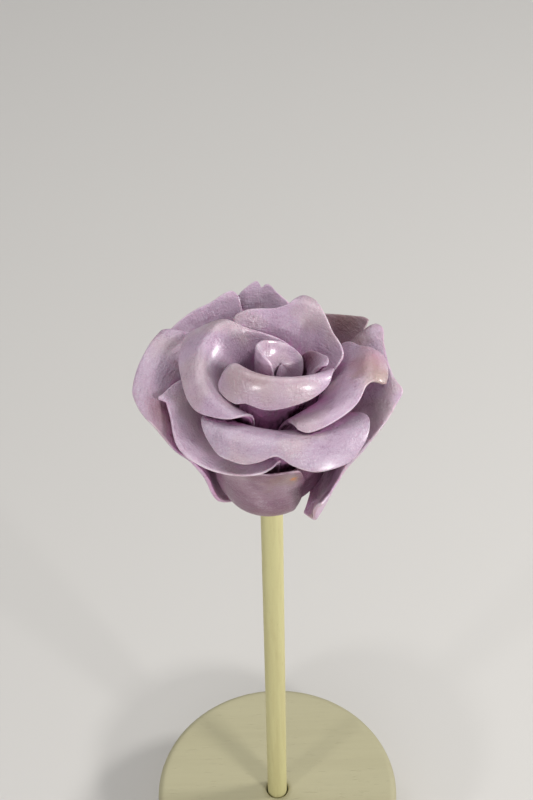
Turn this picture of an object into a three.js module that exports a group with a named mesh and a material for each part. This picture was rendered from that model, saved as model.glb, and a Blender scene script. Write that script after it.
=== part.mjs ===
// A rose of sugar paste on a lollipop stick, standing upright in a round holder disc.
// Millimetres, +Z up. The origin is the middle of the holder's underside.
import * as THREE from 'three';

const HOLDER = { radius: 25.3, height: 15, topRound: 1.5, footRound: 0.8, holeDepth: 11 };
const STICK = { radius: 2, endRound: 0.4, shown: 101.5, inFlower: 9 };
const CLEARANCE = 0.3; // between pieces that touch

// Thickness of a petal low down, in its opened lip, and at its edges.
const PASTE = { wall: 0.75, lip: 1.05, edge: 0.45 };
const EDGE_TAPER = { top: 6, side: 5, power: 0.7 };
const FOOT_WIDTH = 0.8; // how wide a petal's foot is, against the same petal opened
const SWAY = { by: 1.9, from: 20, to: 31 }; // the middle of the flower leans to the right
const LIFT = { from: 8, all: 0.13, back: 0.27 }; // lips stand up at the back and droop at the front
const SINK = [2.5, 4.5]; // stations between which a lip comes to droop by the petal's own `sink`

// A roll is shut: high up, its inner face turns in to a shallow hollow whose floor is this far above
// the flower's underside, and only a slot is left. The end of the roll is a free flap.
const ROLL = { floor: 30.8, turnsIn: 0.8, slot: 0.05, flap: [0.82, 0.95] };

// The petals lie in nested trumpet shapes, layer 0 in the middle to layer 4 outermost. Each one has
// seven stations: foot, belly, waist, throat, crest, lip and fall. Heights are above the flower's
// underside.
const TRUMPETS = [
  { radius: [1.6, 2.6, 3.2, 3.5, 3.7, 3.8, 3.9], height: [10, 12.5, 17, 24, 30, 34, 38] },
  { radius: [2.4, 4.2, 5.0, 5.1, 5.0, 6.9, 9.8], height: [7, 9.5, 15, 24, 32.5, 36, 29.2] },
  { radius: [2.6, 5.6, 7.2, 7.2, 8.3, 13, 17.5], height: [4.2, 6, 10.5, 18, 25.5, 32.6, 26.5] },
  { radius: [2.6, 6.8, 9.0, 9.2, 11, 15.5, 20.5], height: [2.4, 3.6, 8.5, 14.7, 21.5, 27.6, 24] },
  { radius: [2.6, 8.2, 10.8, 11.8, 14.5, 19.2, 24], height: [0.6, 1.6, 6.5, 13, 20.5, 25.2, 22.8] },
];

// A petal is centred on the direction `facing` and spreads as many degrees to each side (0 is the
// right, 90 the back). It rises from station `foot` to its edge, whose station is given at places
// across the petal, from -1 at its clockwise side to 1 at the other. `wall` and `lip` are its
// layers low down and opened out: at the clockwise side, the middle and the other side. `sink` is
// how far its lip droops there. A petal can have its own values for OPENS and FOOT_WIDTH.
const PETALS = {
  bud: {
    facing: -284, spread: 175, foot: 1.2, wall: [0.33, 0.13, -0.15], lip: [0.33, 0.13, -0.15],
    edge: [[-1, 2.8], [-0.5, 3.2], [-0.38, 3.75], [-0.3, 3.98], [-0.14, 4.15], [0.11, 4.45],
      [0.38, 4.92], [0.55, 5.15], [0.75, 5.3], [0.9, 5.15], [0.97, 4.95], [1, 4.4]],
    footWidth: 1, isRoll: true,
  },
  inner_right: {
    facing: 12, spread: 38, foot: 1.2, wall: [0.78, 0.82, 0.8], lip: [1.1, 1.2, 0.88],
    edge: [[-1, 4.6], [-0.9, 5], [-0.8, 4.97], [-0.6, 4.82], [-0.12, 4.38], [0.3, 4.17],
      [0.66, 3.95], [0.83, 3.77], [1, 3.5]],
    opens: [2.8, 4.6],
  },
  inner_front: {
    facing: -88.5, spread: 75, foot: 1.2, wall: [1.05, 1, 1.35], lip: [1.18, 1, 1.55],
    edge: [[-1, 5.3], [-0.96, 5.8], [-0.85, 6.03], [-0.6, 6.15], [-0.47, 6.05], [-0.25, 6.1],
      [0.16, 5.85], [0.41, 5.65], [0.64, 5.38], [0.79, 5.05], [0.95, 4.68], [1, 4.2]],
    opens: [2.8, 4.4], sink: [0, -1, 0],
  },
  middle_left: {
    facing: 155, spread: 92, foot: 1, wall: [1, 1.75, 1.77], lip: [1.1, 1.98, 1.95],
    edge: [[-1, 3.8], [-0.77, 4.02], [-0.53, 4.3], [-0.3, 4.75], [-0.21, 5.4], [-0.12, 6.3],
      [0, 6.12], [0.32, 5.72], [0.56, 5.65], [0.71, 5.43], [0.86, 5.1], [0.95, 4.4], [1, 3.6]],
    sink: [0, 0, 0.6],
  },
  middle_back: {
    facing: 70, spread: 58, foot: 1, wall: [1.9, 2.1, 2.3], lip: [2.2, 2.1, 2.3],
    edge: [[-1, 4.2], [-0.95, 4.52], [-0.8, 4.62], [-0.58, 4.67], [-0.28, 5], [-0.08, 5.45],
      [0.04, 5.65], [0.12, 5.3], [0.22, 4.97], [0.4, 4.85], [0.83, 5], [0.96, 4.9], [1, 4.3]],
  },
  middle_right: {
    facing: -22, spread: 60, foot: 1, wall: [1.8, 1.9, 3.35], lip: [1.95, 2.4, 3.2],
    edge: [[-1, 4.3], [-0.94, 5.05], [-0.8, 5.25], [-0.45, 5.2], [-0.13, 5.18], [0.1, 5.1],
      [0.2, 5.25], [0.25, 5.75], [0.4, 5.8], [0.55, 5.7], [0.61, 5.43], [0.73, 4.97],
      [0.95, 4.58], [1, 4.1]],
    opens: [3.4, 5.1], sink: [1.6, 0, 0],
  },
  front: {
    facing: -89, spread: 66, foot: 0.8, wall: [2.5, 2.38, 2.95], lip: [2.92, 2.68, 3.4],
    edge: [[-1, 4.3], [-0.87, 4.95], [-0.62, 5.5], [-0.47, 5.7], [-0.31, 5.73], [-0.18, 5.62],
      [-0.04, 5.42], [0.09, 5.65], [0.31, 5.9], [0.5, 5.92], [0.71, 5.65], [0.88, 5.22],
      [0.96, 4.9], [1, 4.3]],
    opens: [3.8, 5.2], sink: [0, -1.2, 0],
  },
  front_left: {
    facing: -138, spread: 56, foot: 0.8, wall: [2.8, 3, 3.1], lip: [3.5, 3.9, 3.75],
    edge: [[-1, 4.4], [-0.67, 5.05], [-0.62, 5.25], [-0.58, 4.95], [-0.43, 4.88], [-0.04, 5.17],
      [0.21, 5.06], [0.36, 4.94], [0.6, 4.7], [0.72, 4.57], [0.87, 4.23], [1, 3.8]],
    opens: [3.5, 4.9],
  },
  left: {
    facing: 174, spread: 46, foot: 0.5, wall: [3.3, 3.65, 4.65], lip: [3.4, 4.15, 4.55],
    edge: [[-1, 3.7], [-0.8, 4.5], [-0.65, 5.1], [-0.55, 5.68], [-0.14, 5.66], [0.13, 5.64],
      [0.28, 5.48], [0.46, 5.19], [0.56, 4.94], [0.66, 4.77], [0.88, 4.4], [1, 3.7]],
    opens: [3.3, 5],
  },
  back_left: {
    facing: 131, spread: 27, foot: 0.8, wall: [3.95, 4.05, 4.15], lip: [4.2, 4.3, 4.45],
    edge: [[-1, 4.2], [-0.93, 4.9], [-0.8, 5.12], [-0.36, 4.99], [0, 5.03], [0.45, 5.04],
      [0.8, 4.9], [1, 4.2]],
  },
  back: {
    facing: 94, spread: 30, foot: 0.5, wall: [4.4, 4.55, 4.7], lip: [4.4, 4.55, 4.75],
    edge: [[-1, 3.4], [-0.8, 4.2], [-0.52, 4.52], [-0.29, 4.75], [-0.1, 5], [-0.02, 4.9],
      [0.04, 5.11], [0.22, 4.94], [0.35, 4.77], [0.6, 4.4], [1, 3.4]],
  },
  back_right: {
    facing: 62, spread: 24, foot: 0.2, wall: [4.8, 4.95, 5.05], lip: [5, 5, 5.05],
    edge: [[-1, 4.3], [-0.95, 4.85], [-0.85, 4.83], [-0.68, 4.7], [-0.44, 4.54], [-0.1, 4.37],
      [0.4, 4.2], [1, 3.2]],
  },
  right: {
    facing: -14, spread: 51, foot: 0.8, wall: [5.3, 4.2, 3.9], lip: [5.5, 4.3, 4.1],
    edge: [[-1, 3.85], [-0.87, 3.72], [-0.76, 3.5], [-0.58, 3.5], [-0.46, 4], [-0.27, 4.54],
      [-0.1, 4.88], [0.06, 5.13], [0.2, 5.36], [0.28, 5.2], [0.36, 5.1], [0.5, 5.06],
      [0.71, 5.19], [0.87, 5.46], [0.93, 5.35], [0.97, 4.8], [1, 4.3]],
    footWidth: 0.6,
  },
  under_front: {
    facing: -104, spread: 42, foot: 0.1, wall: [3.85, 4.15, 4.0], lip: [3.75, 3.8, 3.75],
    edge: [[-1, 3.1], [-0.8, 3.8], [-0.45, 4], [0, 4.2], [0.45, 4.1], [0.8, 3.8], [1, 3.1]],
    opens: [2.4, 3.6],
  },
  under_right: {
    facing: -42, spread: 37, foot: 0.3, wall: [3.4, 3.45, 3.45], lip: [3.4, 3.45, 3.45],
    edge: [[-1, 2.8], [-0.8, 3.3], [-0.45, 3.5], [0, 3.6], [0.45, 3.5], [0.8, 3.3], [1, 2.8]],
  },
};
const OPENS = [1.5, 3.6]; // stations between which most petals pass from wall to lip
const DEGREES_PER_COLUMN = 10;
const FEWEST_COLUMNS = 10;
const ROWS = 11;

// The heart is the lump on the stick that the petals' feet are pressed to: radius and height of
// its outline above the flower's underside.
const HEART = [[2.6, 1.9], [3.8, 3.6], [4.3, 5], [3.7, 6.6], [3.1, 8.6], [2.5, 10.6], [1.7, 12]];

const material = (name, color, roughness) => {
  const made = new THREE.MeshStandardMaterial({ color, roughness, metalness: 0 });
  made.name = name;
  return made;
};
const PETAL_PASTE = material('petal_paste', 0xab94a6, 0.32);
const HEART_PASTE = material('heart_paste', 0x72576a, 0.5);
const STICK_WOOD = material('stick_wood', 0xc3c09c, 0.6);
const HOLDER_WOOD = material('holder_wood', 0xb3b08f, 0.7);

const mix = (a, b, share) => a + (b - a) * share;

function smooth(x, from, to) {
  const t = THREE.MathUtils.clamp((x - from) / (to - from), 0, 1);
  return t * t * (3 - 2 * t);
}

// A value given at the clockwise side, the middle and the other side of a petal.
function acrossPetal([first, middle, last], t) {
  return middle + ((last - first) / 2) * t + ((first + last) / 2 - middle) * t * t;
}

// Even cubic B-spline over a list, going on straight past both of its ends.
function spline(list, x) {
  const last = list.length - 1;
  const at = (i) => {
    if (i < 0) return list[0] + (list[0] - list[1]) * -i;
    if (i > last) return list[last] + (list[last] - list[last - 1]) * (i - last);
    return list[i];
  };
  const i = Math.floor(x);
  const f = x - i;
  const near = (3 * f ** 3 - 6 * f ** 2 + 4) / 6;
  const next = (-3 * f ** 3 + 3 * f ** 2 + 3 * f + 1) / 6;
  return ((1 - f) ** 3 / 6) * at(i - 1) + near * at(i) + next * at(i + 1) + (f ** 3 / 6) * at(i + 2);
}

// Radius and height at a station of a layer.
function trumpet(layer, station) {
  const radii = TRUMPETS.map((t) => spline(t.radius, station));
  const heights = TRUMPETS.map((t) => spline(t.height, station));
  return [spline(radii, layer), spline(heights, layer)];
}

// Monotone cubic through [place, value] pairs.
function curve(knots, t) {
  const n = knots.length;
  const step = (i) => knots[i + 1][0] - knots[i][0];
  const rise = (i) => (knots[i + 1][1] - knots[i][1]) / step(i);
  const slope = (i) => {
    if (i === 0) return rise(0);
    if (i === n - 1) return rise(n - 2);
    const [a, b, h, k] = [rise(i - 1), rise(i), step(i - 1), step(i)];
    return a * b <= 0 ? 0 : (3 * (h + k)) / ((2 * k + h) / a + (k + 2 * h) / b);
  };
  let i = 0;
  while (i < n - 2 && t >= knots[i + 1][0]) i += 1;
  const h = step(i);
  const u = THREE.MathUtils.clamp((t - knots[i][0]) / h, 0, 1);
  return knots[i][1] * (1 + 2 * u) * (1 - u) ** 2 + slope(i) * h * u * (1 - u) ** 2
    + knots[i + 1][1] * u * u * (3 - 2 * u) + slope(i + 1) * h * u * u * (u - 1);
}

const bend = (across) => Math.sin((across * Math.PI) / 2);

function stationOn(petal, across, up) {
  return mix(petal.foot, curve(petal.edge, bend(across)), up);
}

// A point of a petal's mid surface: across -1 to 1, up 0 to 1.
function onPetal(petal, across, up) {
  const t = bend(across);
  const station = stationOn(petal, across, up);
  const opened = smooth(station, ...(petal.opens ?? OPENS));
  const layer = mix(acrossPetal(petal.wall, t), acrossPetal(petal.lip, t), opened);
  const [radius, height] = trumpet(layer, station);
  const width = petal.spread * mix(petal.footWidth ?? FOOT_WIDTH, 1, smooth(station, 0, 3.5));
  const angle = THREE.MathUtils.degToRad(petal.facing + width * t);
  const x = radius * Math.cos(angle) + SWAY.by * smooth(height, SWAY.from, SWAY.to);
  const y = radius * Math.sin(angle);
  const out = Math.hypot(x, y);
  const lift = Math.max(out - LIFT.from, 0) * (LIFT.all + (LIFT.back * y) / out);
  const sink = acrossPetal(petal.sink ?? [0, 0, 0], t) * smooth(station, ...SINK);
  return new THREE.Vector3(x, y, height + lift - sink);
}

function petalThickness(petal, across, up) {
  const full = mix(PASTE.wall, PASTE.lip, smooth(stationOn(petal, across, up), 3, 4.5));
  const inset = Math.min(1, (1 - up) * EDGE_TAPER.top, (1 - Math.abs(across)) * EDGE_TAPER.side);
  return mix(PASTE.edge, full, inset ** EDGE_TAPER.power);
}

// Where a point of a roll's inner face goes when the roll is shut.
function shutRoll(point, across, up) {
  const rim = Math.max((up - ROLL.turnsIn) / (1 - ROLL.turnsIn), 0);
  const free = smooth(bend(across), ...ROLL.flap);
  const reach = mix(mix(ROLL.slot, 1, rim), 1, free);
  const middle = SWAY.by * smooth(ROLL.floor, SWAY.from, SWAY.to);
  const height = mix(ROLL.floor, point.z, Math.max(1 - up / ROLL.turnsIn, reach ** 2));
  return new THREE.Vector3(mix(middle, point.x, reach), point.y * reach, height);
}

// Closed solid between the two faces of a petal.
function petalGeometry(petal) {
  const columns = Math.max(FEWEST_COLUMNS, Math.ceil((2 * petal.spread) / DEGREES_PER_COLUMN));
  const side = 0.999;
  const nudge = 0.001;
  const faces = [[], []];
  for (let i = 0; i <= columns; i += 1) {
    for (let j = 0; j <= ROWS; j += 1) {
      const across = side * ((2 * i) / columns - 1);
      const up = j / ROWS;
      const [below, above] = [Math.max(up - nudge, 0), Math.min(up + nudge, 1)];
      const along = onPetal(petal, across + nudge, up).sub(onPetal(petal, across - nudge, up));
      const rise = onPetal(petal, across, above).sub(onPetal(petal, across, below));
      const half = along.cross(rise).setLength(petalThickness(petal, across, up) / 2);
      const middle = onPetal(petal, across, up);
      faces[0].push(middle.clone().add(half));
      const inside = middle.clone().sub(half);
      faces[1].push(petal.isRoll ? shutRoll(inside, across, up) : inside);
    }
  }
  const outer = (i, j) => i * (ROWS + 1) + j;
  const inner = (i, j) => faces[0].length + outer(i, j);
  const index = [];
  for (let i = 0; i < columns; i += 1) {
    for (let j = 0; j < ROWS; j += 1) {
      const corners = [[i, j], [i + 1, j], [i + 1, j + 1], [i, j + 1]];
      const [a, b, c, d] = corners.map((corner) => outer(...corner));
      const [e, f, g, h] = corners.map((corner) => inner(...corner));
      index.push(a, b, c, a, c, d, e, g, f, e, h, g);
    }
  }
  const rim = [];
  for (let i = 0; i < columns; i += 1) rim.push([i, 0]);
  for (let j = 0; j < ROWS; j += 1) rim.push([columns, j]);
  for (let i = columns; i > 0; i -= 1) rim.push([i, ROWS]);
  for (let j = ROWS; j > 0; j -= 1) rim.push([0, j]);
  rim.forEach((here, k) => {
    const next = rim[(k + 1) % rim.length];
    index.push(outer(...here), inner(...here), inner(...next));
    index.push(outer(...here), inner(...next), outer(...next));
  });
  const geometry = new THREE.BufferGeometry().setFromPoints([...faces[0], ...faces[1]]);
  geometry.setIndex(index);
  geometry.computeVertexNormals();
  return geometry;
}

// Solid turned about Z from an outline of [radius, height] points that starts and ends on the axis.
function turned(outline, sides) {
  const points = outline.map(([radius, height]) => new THREE.Vector2(radius, height));
  return new THREE.LatheGeometry(points, sides).rotateX(Math.PI / 2);
}

// Points of a quarter circle about (radius, height), from one direction to another in degrees.
function quarterRound(radius, height, size, from, to, steps = 4) {
  return Array.from({ length: steps + 1 }, (_, k) => {
    const angle = THREE.MathUtils.degToRad(mix(from, to, k / steps));
    return [radius + size * Math.cos(angle), height + size * Math.sin(angle)];
  });
}

function holderGeometry() {
  const { radius, height, topRound, footRound, holeDepth } = HOLDER;
  const hole = STICK.radius + CLEARANCE;
  return turned([
    [0, 0],
    ...quarterRound(radius - footRound, footRound, footRound, -90, 0, 3),
    ...quarterRound(radius - topRound, height - topRound, topRound, 0, 90),
    [hole, height],
    [hole, height - holeDepth],
    [0, height - holeDepth],
  ], 64);
}

function stickGeometry(length) {
  const { radius, endRound } = STICK;
  return turned([
    [0, 0],
    ...quarterRound(radius - endRound, endRound, endRound, -90, 0, 2),
    ...quarterRound(radius - endRound, length - endRound, endRound, 0, 90, 2),
    [0, length],
  ], 24);
}

function heartGeometry() {
  const hole = STICK.radius + CLEARANCE;
  const roof = STICK.inFlower + CLEARANCE;
  const top = HEART[HEART.length - 1][1];
  return turned([[0, roof], [hole, roof], [hole, HEART[0][1]], ...HEART, [0, top]], 24);
}

const lollipop = new THREE.Group();

function add(parent, name, geometry, look, height = 0) {
  const mesh = new THREE.Mesh(geometry, look);
  mesh.name = name;
  mesh.position.z = height;
  parent.add(mesh);
}

const stickFoot = HOLDER.height - HOLDER.holeDepth + CLEARANCE;
const flowerFoot = HOLDER.height + STICK.shown;
add(lollipop, 'holder', holderGeometry(), HOLDER_WOOD);
const stickLength = flowerFoot + STICK.inFlower - stickFoot;
add(lollipop, 'stick', stickGeometry(stickLength), STICK_WOOD, stickFoot);

const flower = new THREE.Group();
flower.position.z = flowerFoot;
lollipop.add(flower);
add(flower, 'heart', heartGeometry(), HEART_PASTE);
Object.entries(PETALS).forEach(([name, petal]) => {
  add(flower, name, petalGeometry(petal), PETAL_PASTE);
});

export default lollipop;
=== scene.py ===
# A rose of sugar paste on a lollipop stick, which stands upright in a round wooden holder.
# The scene is in metres and the tables below are in millimetres. +Z is up, -Y is the front.
import math

import bpy
import numpy as np
from bpy.props import FloatProperty, FloatVectorProperty, IntProperty, PointerProperty
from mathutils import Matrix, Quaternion, Vector
from mathutils.bvhtree import BVHTree


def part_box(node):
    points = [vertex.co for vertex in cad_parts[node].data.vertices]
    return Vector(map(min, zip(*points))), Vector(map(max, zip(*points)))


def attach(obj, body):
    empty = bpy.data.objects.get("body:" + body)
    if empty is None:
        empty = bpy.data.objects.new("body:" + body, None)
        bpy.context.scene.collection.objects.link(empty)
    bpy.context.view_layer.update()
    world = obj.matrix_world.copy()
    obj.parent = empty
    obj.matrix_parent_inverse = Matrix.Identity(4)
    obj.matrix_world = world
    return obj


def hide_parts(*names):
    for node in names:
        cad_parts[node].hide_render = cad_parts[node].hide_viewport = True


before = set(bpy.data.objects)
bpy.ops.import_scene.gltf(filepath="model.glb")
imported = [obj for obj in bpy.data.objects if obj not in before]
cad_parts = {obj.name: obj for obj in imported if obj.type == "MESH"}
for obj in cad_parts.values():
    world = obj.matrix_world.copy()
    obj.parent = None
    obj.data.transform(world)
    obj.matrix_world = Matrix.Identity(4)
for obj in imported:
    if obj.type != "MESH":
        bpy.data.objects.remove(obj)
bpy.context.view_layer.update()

bl_info = {
    "name": "Sugar Paste Rose Lollipop",
    "version": (1, 0, 0),
    "blender": (4, 5, 0),
    "location": "3D View > Sidebar > Rose",
    "description": "Makes a hand-made paste rose on its stick and holder, with a plain stage",
    "category": "Add Mesh",
}

MM = 0.001
BODY = "root"


def node_box(name):
    """Lowest and highest corner of a solid, in millimetres."""
    low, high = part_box(name)
    return np.array(low) / MM, np.array(high) / MM


HOLDER_LOW, HOLDER_HIGH = node_box("holder")
STICK_LOW, STICK_HIGH = node_box("stick")
STICK_IN_FLOWER = 9.0
FLOWER_FOOT = float(STICK_HIGH[2]) - STICK_IN_FLOWER

# ---------------------------------------------------------------- the petals' shapes
# The petals lie in nested trumpet shapes, layer 0 in the middle to layer 4 outermost. Each one has
# seven stations: foot, belly, waist, throat, crest, lip and fall. Heights are above the flower's
# underside.
TRUMPETS = [
    {"radius": [1.6, 2.6, 3.2, 3.5, 3.7, 3.8, 3.9], "height": [10, 12.5, 17, 24, 30, 34, 38]},
    {"radius": [2.4, 4.2, 5, 5.1, 5, 6.9, 9.8], "height": [7, 9.5, 15, 24, 32.5, 36, 29.2]},
    {"radius": [2.6, 5.6, 7.2, 7.2, 8.3, 13, 17.5], "height": [4.2, 6, 10.5, 18, 25.5, 32.6, 26.5]},
    {"radius": [2.6, 6.8, 9, 9.2, 11, 15.5, 20.5], "height": [2.4, 3.6, 8.5, 14.7, 21.5, 27.6, 24]},
    {"radius": [2.6, 8.2, 10.8, 11.8, 14.5, 19.2, 24], "height": [0.6, 1.6, 6.5, 13, 20.5, 25.2, 22.8]},
]

# A petal is centred on the direction `facing` and spreads as many degrees to each side (0 is the
# right, 90 the back). It rises from station `foot` to its edge, whose station is given at places
# across the petal, from -1 at its clockwise side to 1 at the other. `wall` and `lip` are its
# layers low down and opened out: at the clockwise side, the middle and the other side.
PETALS = {
    "bud": {
        "facing": -284, "spread": 175, "foot": 1.2, "wall": (0.33, 0.13, -0.15),
        "lip": (0.33, 0.13, -0.15), "foot_width": 1, "is_roll": True,
        "edge": [(-1, 2.8), (-0.5, 3.2), (-0.38, 3.75), (-0.3, 3.98), (-0.14, 4.15), (0.11, 4.45),
                 (0.38, 4.92), (0.55, 5.15), (0.75, 5.3), (0.9, 5.15), (0.97, 4.95), (1, 4.4)],
    },
    "inner_right": {
        "facing": 12, "spread": 38, "foot": 1.2, "wall": (0.78, 0.82, 0.8), "lip": (1.1, 1.2, 0.88),
        "opens": (2.8, 4.6),
        "edge": [(-1, 4.6), (-0.9, 5), (-0.8, 4.97), (-0.6, 4.82), (-0.12, 4.38), (0.3, 4.17),
                 (0.66, 3.95), (0.83, 3.77), (1, 3.5)],
    },
    "inner_front": {
        "facing": -88.5, "spread": 75, "foot": 1.2, "wall": (1.05, 1, 1.35), "lip": (1.18, 1, 1.55),
        "opens": (2.8, 4.4), "sink": (0, -1, 0),
        "edge": [(-1, 5.3), (-0.96, 5.8), (-0.85, 6.03), (-0.6, 6.15), (-0.47, 6.05), (-0.25, 6.1),
                 (0.16, 5.85), (0.41, 5.65), (0.64, 5.38), (0.79, 5.05), (0.95, 4.68), (1, 4.2)],
    },
    "middle_left": {
        "facing": 155, "spread": 92, "foot": 1, "wall": (1, 1.75, 1.77), "lip": (1.1, 1.98, 1.95),
        "sink": (0, 0, 0.6),
        "edge": [(-1, 3.8), (-0.77, 4.02), (-0.53, 4.3), (-0.3, 4.75), (-0.21, 5.4), (-0.12, 6.3),
                 (0, 6.12), (0.32, 5.72), (0.56, 5.65), (0.71, 5.43), (0.86, 5.1), (0.95, 4.4),
                 (1, 3.6)],
    },
    "middle_back": {
        "facing": 70, "spread": 58, "foot": 1, "wall": (1.9, 2.1, 2.3), "lip": (2.2, 2.1, 2.3),
        "edge": [(-1, 4.2), (-0.95, 4.52), (-0.8, 4.62), (-0.58, 4.67), (-0.28, 5), (-0.08, 5.45),
                 (0.04, 5.65), (0.12, 5.3), (0.22, 4.97), (0.4, 4.85), (0.83, 5), (0.96, 4.9),
                 (1, 4.3)],
    },
    "middle_right": {
        "facing": -22, "spread": 60, "foot": 1, "wall": (1.8, 1.9, 3.35), "lip": (1.95, 2.4, 3.2),
        "opens": (3.4, 5.1), "sink": (1.6, 0, 0),
        "edge": [(-1, 4.3), (-0.94, 5.05), (-0.8, 5.25), (-0.45, 5.2), (-0.13, 5.18), (0.1, 5.1),
                 (0.2, 5.25), (0.25, 5.75), (0.4, 5.8), (0.55, 5.7), (0.61, 5.43), (0.73, 4.97),
                 (0.95, 4.58), (1, 4.1)],
    },
    "front": {
        "facing": -89, "spread": 66, "foot": 0.8, "wall": (2.5, 2.38, 2.95), "lip": (2.92, 2.68, 3.4),
        "opens": (3.8, 5.2), "sink": (0, -1.2, 0),
        "edge": [(-1, 4.3), (-0.87, 4.95), (-0.62, 5.5), (-0.47, 5.7), (-0.31, 5.73), (-0.18, 5.62),
                 (-0.04, 5.42), (0.09, 5.65), (0.31, 5.9), (0.5, 5.92), (0.71, 5.65), (0.88, 5.22),
                 (0.96, 4.9), (1, 4.3)],
    },
    "front_left": {
        "facing": -138, "spread": 56, "foot": 0.8, "wall": (2.8, 3, 3.1), "lip": (3.5, 3.9, 3.75),
        "opens": (3.5, 4.9),
        "edge": [(-1, 4.4), (-0.67, 5.05), (-0.62, 5.25), (-0.58, 4.95), (-0.43, 4.88), (-0.04, 5.17),
                 (0.21, 5.06), (0.36, 4.94), (0.6, 4.7), (0.72, 4.57), (0.87, 4.23), (1, 3.8)],
    },
    "left": {
        "facing": 174, "spread": 46, "foot": 0.5, "wall": (3.3, 3.65, 4.65), "lip": (3.4, 4.15, 4.55),
        "opens": (3.3, 5),
        "edge": [(-1, 3.7), (-0.8, 4.5), (-0.65, 5.1), (-0.55, 5.68), (-0.14, 5.66), (0.13, 5.64),
                 (0.28, 5.48), (0.46, 5.19), (0.56, 4.94), (0.66, 4.77), (0.88, 4.4), (1, 3.7)],
    },
    "back_left": {
        "facing": 131, "spread": 27, "foot": 0.8, "wall": (3.95, 4.05, 4.15), "lip": (4.2, 4.3, 4.45),
        "edge": [(-1, 4.2), (-0.93, 4.9), (-0.8, 5.12), (-0.36, 4.99), (0, 5.03), (0.45, 5.04),
                 (0.8, 4.9), (1, 4.2)],
    },
    "back": {
        "facing": 94, "spread": 30, "foot": 0.5, "wall": (4.4, 4.55, 4.7), "lip": (4.4, 4.55, 4.75),
        "edge": [(-1, 3.4), (-0.8, 4.2), (-0.52, 4.52), (-0.29, 4.75), (-0.1, 5), (-0.02, 4.9),
                 (0.04, 5.11), (0.22, 4.94), (0.35, 4.77), (0.6, 4.4), (1, 3.4)],
    },
    "back_right": {
        "facing": 62, "spread": 24, "foot": 0.2, "wall": (4.8, 4.95, 5.05), "lip": (5, 5, 5.05),
        "edge": [(-1, 4.3), (-0.95, 4.85), (-0.85, 4.83), (-0.68, 4.7), (-0.44, 4.54), (-0.1, 4.37),
                 (0.4, 4.2), (1, 3.2)],
    },
    "right": {
        "facing": -14, "spread": 51, "foot": 0.8, "wall": (5.3, 4.2, 3.9), "lip": (5.5, 4.3, 4.1),
        "foot_width": 0.6,
        "edge": [(-1, 3.85), (-0.87, 3.72), (-0.76, 3.5), (-0.58, 3.5), (-0.46, 4), (-0.27, 4.54),
                 (-0.1, 4.88), (0.06, 5.13), (0.2, 5.36), (0.28, 5.2), (0.36, 5.1), (0.5, 5.06),
                 (0.71, 5.19), (0.87, 5.46), (0.93, 5.35), (0.97, 4.8), (1, 4.3)],
    },
    "under_front": {
        "facing": -104, "spread": 42, "foot": 0.1, "wall": (3.85, 4.15, 4), "lip": (3.75, 3.8, 3.75),
        "opens": (2.4, 3.6),
        "edge": [(-1, 3.1), (-0.8, 3.8), (-0.45, 4), (0, 4.2), (0.45, 4.1), (0.8, 3.8), (1, 3.1)],
    },
    "under_right": {
        "facing": -42, "spread": 37, "foot": 0.3, "wall": (3.4, 3.45, 3.45), "lip": (3.4, 3.45, 3.45),
        "edge": [(-1, 2.8), (-0.8, 3.3), (-0.45, 3.5), (0, 3.6), (0.45, 3.5), (0.8, 3.3), (1, 2.8)],
    },
}
OPENS = (1.5, 3.6)  # stations between which most petals pass from wall to lip
FOOT_WIDTH = 0.8  # how wide a petal's foot is, against the same petal opened
FULL_WIDTH = (0, 3.5)  # stations between which it widens
SWAY = {"by": 1.9, "from": 20, "to": 31}  # the middle of the flower leans to the right
LIFT = {"from": 8, "all": 0.13, "back": 0.27}  # lips stand up at the back, droop at the front
THICKENS = (3, 4.5)  # stations between which the wall's thickness becomes the lip's
SINK = (2.5, 4.5)  # stations between which a lip comes to droop by the petal's own `sink`
# A roll is shut: high up, its inner face turns in to a shallow hollow whose floor is this far above
# the flower's underside, and only a slot is left. The end of the roll is a free flap.
# `side` and `foot` are how far from those edges, in millimetres, this sets in.
ROLL = {"floor": 30.8, "turns_in": 0.8, "slot": 0.05, "flap": (0.82, 0.95), "side": 0.4, "foot": 0.5}
EDGE_TAPER = {"top": 6, "side": 5, "power": 0.7}
# Painted shade: low in the flower the paste is painted in the deep shade colour.
LOOKS_OPENED = (2.2, 4.8)  # stations between which the paste's colour changes
GRID = 0.27  # spacing of a petal's mesh, in millimetres
PROBE = (60, 40)  # points across and up a petal, by which it is measured
NUDGE = 1e-3  # how far apart two places are that a direction is taken from
RIM_ROWS = 4  # rows that round off a rim

# A nook is where rays from a petal's face soon meet another petal: a coarse grid of points, the
# rays of each, how far they start from the mid surface, how much they lean outward, how far they
# reach in millimetres, and the share of shut-in rays from which painted shade darkens the paste.
NOOKS = {"columns": 48, "rows": 36, "rays": 22, "start": 0.55, "lean": 1.02, "reach": 13,
         "from": (0.15, 0.9), "seed": 5}
NOOK_TREE = []

# The heart is the lump on the stick that the petals' feet are pressed to: radius and height of
# its outline above the flower's underside.
HEART = [(2.6, 1.9), (3.8, 3.6), (4.3, 5), (3.7, 6.6), (3.1, 8.6), (2.5, 10.6), (1.7, 12)]
HEART_ROOF = 9.3
HOLE_DEPTH = 11
CLEARANCE = 0.3


def mix(a, b, share):
    return a + (b - a) * share


def smooth(x, start, end):
    t = np.clip((x - start) / (end - start), 0, 1)
    return t * t * (3 - 2 * t)


def across_petal(values, t):
    """A value given at the clockwise side, the middle and the other side of a petal."""
    first, middle, last = values
    return middle + (last - first) / 2 * t + ((first + last) / 2 - middle) * t * t


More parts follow.
